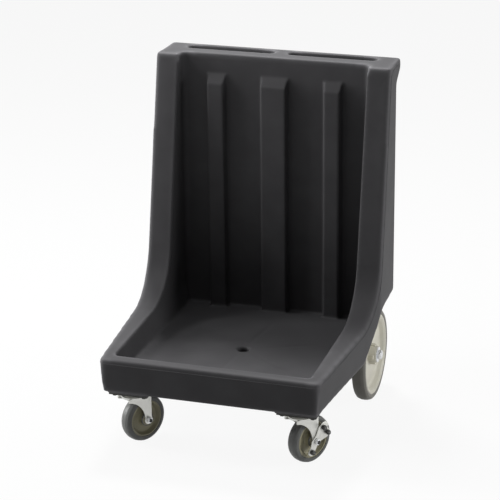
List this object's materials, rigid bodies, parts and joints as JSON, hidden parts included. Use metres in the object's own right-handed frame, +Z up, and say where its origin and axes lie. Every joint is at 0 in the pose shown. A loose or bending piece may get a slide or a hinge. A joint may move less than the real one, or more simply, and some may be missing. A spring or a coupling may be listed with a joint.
{
  "type": "glass rack dolly",
  "caption": "Moulded glass rack dolly with a low tray, swept side arms, a ribbed high back with hand slots, swivel casters in front and large rear wheels.",
  "frame": {"origin": "centre of the bounding box on the ground under the wheels", "axes": "+X to the right of someone facing the open front, as in the picture, +Y to the back panel, +Z up"},
  "size_m": [0.663, 0.69, 0.921],
  "materials": {
    "body": "satin moulded polyethylene",
    "zinc": "zinc plated pressed steel",
    "steel": "bright",
    "core": "satin",
    "caster_tyre": "matt",
    "rim": "satin",
    "rear_tyre": "matt",
    "pad": "matt"
  },
  "bodies": {
    "chassis": {"body_shell": "body", "left_plate": "zinc", "right_plate": "zinc", "left_plate_bolts": "steel", "right_plate_bolts": "steel", "left_king_pin": "steel", "right_king_pin": "steel", "rear_axle": "steel", "left_bracket": "zinc", "right_bracket": "zinc", "bracket_bolts": "steel", "left_washer": "steel", "right_washer": "steel", "left_cap_nut": "steel", "right_cap_nut": "steel"},
    "left_swivel": {"left_fork": "zinc", "left_axle_bolt": "steel", "left_axle_nut": "steel", "left_sleeve": "steel"},
    "right_swivel": {"right_fork": "zinc", "right_axle_bolt": "steel", "right_axle_nut": "steel", "right_sleeve": "steel"},
    "left_caster_wheel": {"left_core": "core", "left_tyre": "caster_tyre"},
    "right_caster_wheel": {"right_core": "core", "right_tyre": "caster_tyre"},
    "brake": {"brake_lever": "zinc", "brake_pad_top": "pad", "brake_pad_low": "pad"},
    "left_rear_wheel": {"left_rim": "rim", "left_bush": "steel", "left_rear_tyre": "rear_tyre"},
    "right_rear_wheel": {"right_rim": "rim", "right_bush": "steel", "right_rear_tyre": "rear_tyre"}
  },
  "joints": [
    {"name": "left_swivel_turn", "type": "hinge", "parent": "chassis", "child": "left_swivel", "pos_m": [-0.2265, -0.277, 0.1], "axis": [0, 0, 1], "continuous": true},
    {"name": "right_swivel_turn", "type": "hinge", "parent": "chassis", "child": "right_swivel", "pos_m": [0.2265, -0.277, 0.1], "axis": [0, 0, 1], "continuous": true},
    {"name": "left_caster_roll", "type": "hinge", "parent": "left_swivel", "child": "left_caster_wheel", "pos_m": [-0.21208, -0.253, 0.0635], "axis": [0.8572, -0.515, 0], "continuous": true},
    {"name": "right_caster_roll", "type": "hinge", "parent": "right_swivel", "child": "right_caster_wheel", "pos_m": [0.24092, -0.253, 0.0635], "axis": [0.8572, -0.515, 0], "continuous": true},
    {"name": "brake_rock", "type": "hinge", "parent": "right_swivel", "child": "brake", "pos_m": [0.24092, -0.253, 0.0635], "axis": [0.8572, -0.515, 0], "range_deg": [-20, 0]},
    {"name": "left_rear_roll", "type": "hinge", "parent": "chassis", "child": "left_rear_wheel", "pos_m": [-0.287, 0.182, 0.127], "axis": [1, 0, 0], "continuous": true},
    {"name": "right_rear_roll", "type": "hinge", "parent": "chassis", "child": "right_rear_wheel", "pos_m": [0.287, 0.182, 0.127], "axis": [1, 0, 0], "continuous": true}
  ]
}
